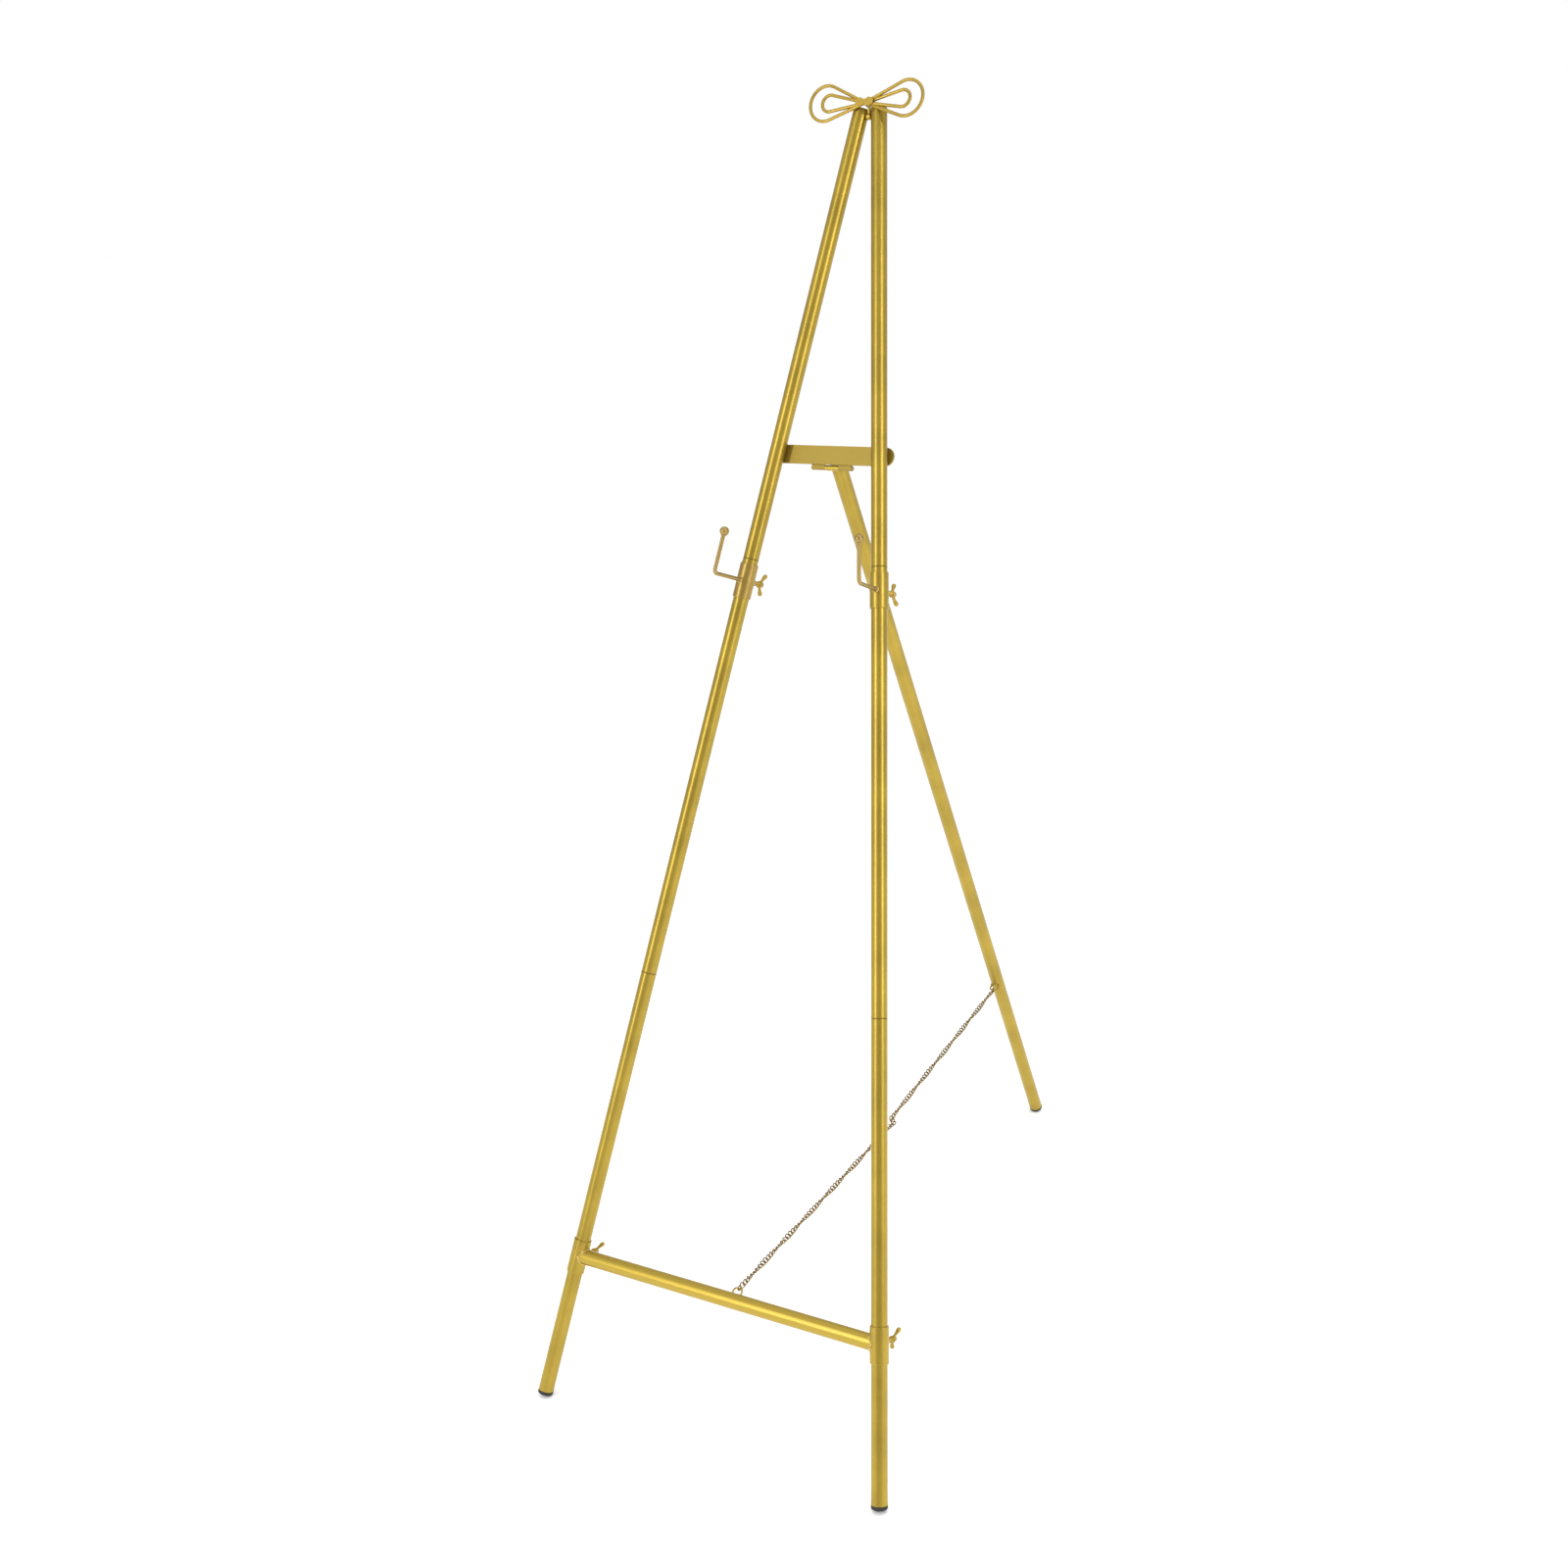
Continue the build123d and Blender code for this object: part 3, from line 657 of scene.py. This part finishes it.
# ------------------------------------------------------------------ welds of the shelf bar
BAR_SLOPE = math.tan(math.asin(abs(right_up.x)))


def on_sleeve(side, back, up):
    """Where a line along the bar, this far back and up from its axis, meets the sleeve."""
    sleeve_middle = LEG[side] @ Vector((0, 0, BAR_AT))
    reach = math.sqrt(SLEEVE_R**2 - back**2)
    return Vector((sleeve_middle.x - side * (reach + up * BAR_SLOPE), back, BAR_UP + up))


def bar_weld(side):
    """The rippled bead round the end of the bar, with three blobs where it was tacked."""
    ring = []
    for i in range(120):
        turn = 2 * math.pi * i / 120
        back, up = TUBE_R * 0.99 * math.cos(turn), TUBE_R * 0.99 * math.sin(turn)
        ring.append(FRONT @ on_sleeve(side, back, up))
    shapes = [weld_bead(ring, BAR_WELD_R)]
    for back, up in BLOBS:
        spot = Matrix.Translation(on_sleeve(side, back * TUBE_R, up * TUBE_R))
        shapes.append(moved(FRONT @ spot @ Matrix.Diagonal((0.9, 0.75, 1.1, 1)), ball(BLOB_R)))
    return merged(*shapes)


for side, name in SIDES:
    make_piece(f"{name}_bar_weld", bar_weld(side), HIGHLIT_WELD_GOLD, "front_frame")


# ------------------------------------------------------------------ chain eyes
def eye_shape(place):
    """A staple with rounded corners, standing on local Z, with a blob of weld at each foot."""
    flat, shoulder = EYE_R - EYE_CORNER, EYE_RISE - EYE_CORNER
    path = [Vector((-EYE_R, 0, EYE_ROOT)), Vector((-EYE_R, 0, 0))]
    path += arc(Vector((-flat, 0, shoulder)), EYE_CORNER, math.pi, math.pi / 2, 10, X, Z)
    path += arc(Vector((flat, 0, shoulder)), EYE_CORNER, math.pi / 2, 0, 10, X, Z)
    path += [Vector((EYE_R, 0, 0)), Vector((EYE_R, 0, EYE_ROOT))]
    shapes = [sweep(path, EYE_WIRE_R, 20)]
    foot = lathe([(ON_AXIS, EYE_FOOT_DEPTH), *scaled(EYE_FOOT_OUTLINE)], 28, closed=False)
    for sign in (-1, 1):
        shapes.append(moved(shifted(sign * EYE_R, 0, -EYE_FOOT_DROP), foot))
    return moved(place, merged(*shapes))


bar_middle = FRONT @ shifted(joint_at("chain_lower_swing").x, 0, BAR_UP)
bar_eye_at = bar_middle @ turned(BAR_EYE_TILT - math.pi / 2, "X") @ shifted(0, 0, TUBE_R)
rear_middle = REAR @ shifted(0, REAR_OFFSET, -REAR_EYE_DOWN)
rear_eye_at = rear_middle @ turned(math.pi / 2, "X") @ shifted(0, 0, TUBE_R)
for place, name, body in ((bar_eye_at, "bar", "front_frame"), (rear_eye_at, "rear", "rear_leg_body")):
    node = f"{name}_chain_eye"
    make_piece(f"{node}_ring", eye_shape(place), FITTING_GOLD, body, [node])


# ------------------------------------------------------------------ chain
def curb_link(place, count=36):
    """An oval link whose two round ends are turned against each other, as a curb chain's are."""
    points = []
    for i in range(count):
        turn = 2 * math.pi * i / count
        x = LINK_HALF * math.tanh(2.4 * math.cos(turn)) + LINK_RING_R * math.cos(turn)
        y = LINK_RING_R * math.sin(turn)
        twist = LINK_TWIST * math.sin(math.pi / 2 * x / (LINK_HALF + LINK_RING_R))
        points.append(place @ Vector((x, y * math.cos(twist), y * math.sin(twist))))
    return sweep(points, LINK_WIRE_R, 10, closed=True)


def chain_end(node, joint_name):
    """Middle of the tip of a chain half in the CAD, the end away from its eye."""
    start = joint_at(joint_name)
    points = [v.co for v in frame["nodes"][node].data.vertices]
    far = max((p - start).length for p in points)
    tip = [p for p in points if (p - start).length > far - LINK_PITCH / 2]
    along = (sum(tip, Vector()) / len(tip) - start).normalized()
    return start + along * far


lower_end = chain_end("chain_lower_half", "chain_lower_swing")
upper_end = chain_end("chain_upper_half", "chain_upper_swing")
chain_meeting = (lower_end + upper_end) / 2


def chain_links(joint_name, aside, last_roll):
    """Curb links from an eye's crown to the middle of the chain, turning slowly as they go.

    Gives the links' shapes and the middle of the last one."""
    start = joint_at(joint_name)
    end = chain_meeting + X * aside
    along = (end - start).normalized()
    sideways = (X - along * X.dot(along)).normalized()
    upward = along.cross(sideways)
    ring_r = END_RING_R - LINK_WIRE_R / 2
    ring_centre = start + along * (ring_r - EYE_WIRE_R - LINK_WIRE_R)
    ring = arc(ring_centre, ring_r, 0, 2 * math.pi, 36, along, upward)[:-1]
    shapes = [sweep(ring, LINK_WIRE_R, 10, closed=True)]
    first = 2 * ring_r - EYE_WIRE_R - LINK_WIRE_R + LINK_PITCH / 2
    run = (end - start).length - first - LINK_PITCH * END_GAP
    count = round(run / LINK_PITCH)
    for i in range(count + 1):
        centre = start + along * (first + run * i / count)
        roll = last_roll + LINK_ROLL * (i - count)
        u = sideways * math.cos(roll) + upward * math.sin(roll)
        shapes.append(curb_link(matrix(centre, along, u, along.cross(u))))
    return shapes, centre


def bridge_link(lower_last, upper_last):
    """The one link that joins the two halves, which end side by side."""
    across = (upper_last - lower_last).normalized()
    u = across.cross(X.cross(across)).normalized()
    return curb_link(matrix((lower_last + upper_last) / 2, across, u, across.cross(u)))


lower_links, lower_last = chain_links("chain_lower_swing", CHAIN_ASIDE, MIDDLE_ROLL)
upper_links, upper_last = chain_links("chain_upper_swing", -CHAIN_ASIDE, -MIDDLE_ROLL - 2 * LINK_ROLL)
lower_links.append(bridge_link(lower_last, upper_last))
for body, links in (("chain_lower", lower_links), ("chain_upper", upper_links)):
    make_piece(f"{body}_links", merged(*links), CHAIN_GOLD, body, [f"{body}_half"], 60)

# ------------------------------------------------------------------ bow
BOW = FRONT @ shifted(0, -BOW_AHEAD, BOW_UP)


def bow_loop(side, distance, radius, depth):
    """One loop: straight out of the knot, round the end and back, one strand before the other."""
    half_angle = math.asin(radius / distance)
    reach = distance * math.cos(half_angle)
    outward = []
    for i in range(STRAND_STEPS):
        along = reach * i / STRAND_STEPS
        outward.append(Vector((along * math.cos(half_angle), 0, along * math.sin(half_angle))))
    round_from = math.pi / 2 + half_angle
    end = arc(X * distance, radius, round_from, -round_from, 60, X, Z)
    homeward = [Vector((p.x, 0, -p.z)) for p in reversed(outward)]
    points = outward + end + homeward
    for i, p in enumerate(points):
        closeness = max(0.0, 1 - p.length / BOW_PARTED)
        p.y = depth * closeness * (1 if i < len(points) / 2 else -1)
    place = BOW @ Matrix.Scale(side, 4, X) @ turned(-BOW_TILT, "Y")
    return sweep([place @ p for p in points], BOW_WIRE_R, 20)


def pressed_plate(outline, thickness, edge):
    """A flat plate with softened edges. The outline is in local XZ, the thickness along Y."""
    count = len(outline)
    half = thickness / 2
    rings = ((-half, edge), (-half + edge, 0), (half - edge, 0), (half, edge))
    centre = sum((Vector(p) for p in outline), Vector((0, 0))) / count
    verts, faces = [], []
    for depth, inset in rings:
        for p in outline:
            p = Vector(p)
            p += (centre - p).normalized() * inset
            verts.append((p.x, depth, p.y))
    for r in range(len(rings) - 1):
        for k in range(count):
            n = (k + 1) % count
            faces.append((r * count + k, r * count + n, (r + 1) * count + n, (r + 1) * count + k))
    for r in (0, len(rings) - 1):
        verts.append((centre.x, rings[r][0], centre.y))
        for k in range(count):
            faces.append((r * count + k, r * count + (k + 1) % count, len(verts) - 1))
    return verts, faces


loops = []
for side in (-1, 1):
    for (distance, radius), sign in zip(BOW_LOOPS, (-1, 1)):
        loops.append(bow_loop(side, distance, radius, sign * side * BOW_CROSSING))
make_piece("bow_wire_loops", merged(*loops), FITTING_GOLD, "front_frame", ["bow_wire"], 50)

other_half = [(-x, z) for x, z in KNOT_HALF[-2:0:-1]]
knot = pressed_plate(scaled([*KNOT_HALF, *other_half]), KNOT_THICKNESS, KNOT_EDGE)
knot = moved(BOW @ shifted(0, -KNOT_AHEAD, 0), knot)
make_piece("bow_knot_pressed", knot, FITTING_GOLD, "front_frame", ["bow_knot_plate"], 30)

# ------------------------------------------------------------------ CAD pieces that keep their shape
KEPT = {
    "shelf_bar": TUBE_GOLD,
    "cross_strip": SHADED_STRIP_GOLD,
    "hinge_fixed_leaf": SHADED_STRIP_GOLD,
    "hinge_moving_leaf": TUBE_GOLD,
    "bow_bracket": FITTING_GOLD,
    "hinge_pin": FASTENER_GOLD,
    "apex_pin": FASTENER_GOLD,
    "strip_screws": FASTENER_GOLD,
    "strip_washers": FASTENER_GOLD,
    "strip_rivet_nuts": FASTENER_GOLD,
    "left_foot_plug": RUBBER,
    "right_foot_plug": RUBBER,
    "rear_foot_plug": RUBBER,
}
for node, material in KEPT.items():
    obj = frame["nodes"][node]
    if not obj.material_slots:
        obj.data.materials.append(material)
    for material_slot in obj.material_slots:
        material_slot.material = material

# ------------------------------------------------------------------ floor
FLOOR_HALF = 30.0
FLOOR_DROP = 0.5 * MM


def floor_paint():
    material, _, _, shader = new_material("pale_floor")
    shader.inputs["Base Color"].default_value = (0.93, 0.93, 0.93, 1)
    shader.inputs["Roughness"].default_value = 0.9
    shader.inputs["Specular IOR Level"].default_value = 0.1
    return material


def add_floor():
    """One wide square under the feet."""
    corners = [(x * FLOOR_HALF, y * FLOOR_HALF, 0) for x, y in ((-1, -1), (1, -1), (1, 1), (-1, 1))]
    mesh = bpy.data.meshes.new("floor")
    mesh.from_pydata(corners, [], [(0, 1, 2, 3)])
    mesh.materials.append(floor_paint())
    obj = bpy.data.objects.new("floor", mesh)
    obj.location.z = -FLOOR_DROP
    bpy.context.scene.collection.objects.link(obj)


add_floor()

# ------------------------------------------------------------------ light
YAW, PITCH, ROLL = (math.radians(a) for a in (33.002, -18.425, -3.996))    # of the camera
SKY = ((0.0, (0.60, 0.60, 0.60)), (0.55, (0.62, 0.62, 0.62)), (1.0, (0.80, 0.80, 0.80)))
TOWARDS_CAMERA = ((0.45, (1, 1, 1)), (0.85, (0.70, 0.66, 0.50)))
DIFFUSE_LIGHT = (1.16, 1.16, 1.16, 1)
BACKDROP = (1, 1, 1, 1)
SOFTBOXES = (
    ("key_box", (2.8, -0.7, 1.9), (0, -0.2, 0.8), (0.22, 2.6), 34),
    ("fill_box", (-1.2, -2.8, 1.9), (0, -0.2, 0.8), (0.18, 2.6), 36),
    ("top_box", (0.3, 0.2, 3.6), (0, 0, 0), (3.0, 3.0), 25),
)


def add_world():
    """White to the camera and to matt surfaces; in reflections a soft sky, dimmer towards the camera."""
    world = bpy.data.worlds.new("studio")
    world.use_nodes = True
    bpy.context.scene.world = world
    nodes, links = world.node_tree.nodes, world.node_tree.links
    nodes.clear()
    output = nodes.new("ShaderNodeOutputWorld")
    background = nodes.new("ShaderNodeBackground")
    links.new(background.outputs["Background"], output.inputs["Surface"])
    direction = nodes.new("ShaderNodeTexCoord").outputs["Generated"]
    split = nodes.new("ShaderNodeSeparateXYZ")
    links.new(direction, split.inputs["Vector"])
    sky = ramp(nodes, links, mapped(nodes, links, split.outputs["Z"], 0.5, 1.0), SKY)
    facing = nodes.new("ShaderNodeVectorMath")
    facing.operation = "DOT_PRODUCT"
    links.new(direction, facing.inputs[0])
    facing.inputs[1].default_value = (math.sin(YAW), -math.cos(YAW), 0)
    dim = ramp(nodes, links, facing.outputs["Value"], TOWARDS_CAMERA)
    shade = mixed(nodes, links, 1.0, sky, dim, "MULTIPLY")
    rays = nodes.new("ShaderNodeLightPath")
    lit = mixed(nodes, links, rays.outputs["Is Diffuse Ray"], shade, DIFFUSE_LIGHT)
    seen = mixed(nodes, links, rays.outputs["Is Camera Ray"], lit, BACKDROP)
    links.new(seen, background.inputs["Color"])
    background.inputs["Strength"].default_value = 1.0


def add_softbox(name, place, aim, size, power):
    light = bpy.data.lights.new(name, "AREA")
    light.shape = "RECTANGLE"
    light.size, light.size_y = size
    light.energy = power
    obj = bpy.data.objects.new(name, light)
    obj.location = place
    obj.rotation_euler = (Vector(aim) - Vector(place)).to_track_quat("-Z", "Y").to_euler()
    bpy.context.scene.collection.objects.link(obj)


add_world()
for box in SOFTBOXES:
    add_softbox(*box)

# ------------------------------------------------------------------ camera
CAMERA_AT = Vector((1.1943, -2.02862, 1.4748))
SENSOR_WIDTH = 36                 # millimetres, as is the lens
LENS = 45.2259


def add_camera():
    forward = Vector((-math.sin(YAW) * math.cos(PITCH), math.cos(YAW) * math.cos(PITCH), math.sin(PITCH)))
    level = Vector((math.cos(YAW), math.sin(YAW), 0))
    upright = level.cross(forward)
    right = level * math.cos(ROLL) + upright * math.sin(ROLL)
    up = upright * math.cos(ROLL) - level * math.sin(ROLL)
    camera = bpy.data.cameras.new("camera")
    camera.sensor_width = SENSOR_WIDTH
    camera.lens = LENS
    obj = bpy.data.objects.new("camera", camera)
    obj.matrix_world = matrix(CAMERA_AT, right, up, -forward)
    bpy.context.scene.collection.objects.link(obj)
    bpy.context.scene.camera = obj


add_camera()
bpy.context.scene.view_settings.view_transform = "Standard"
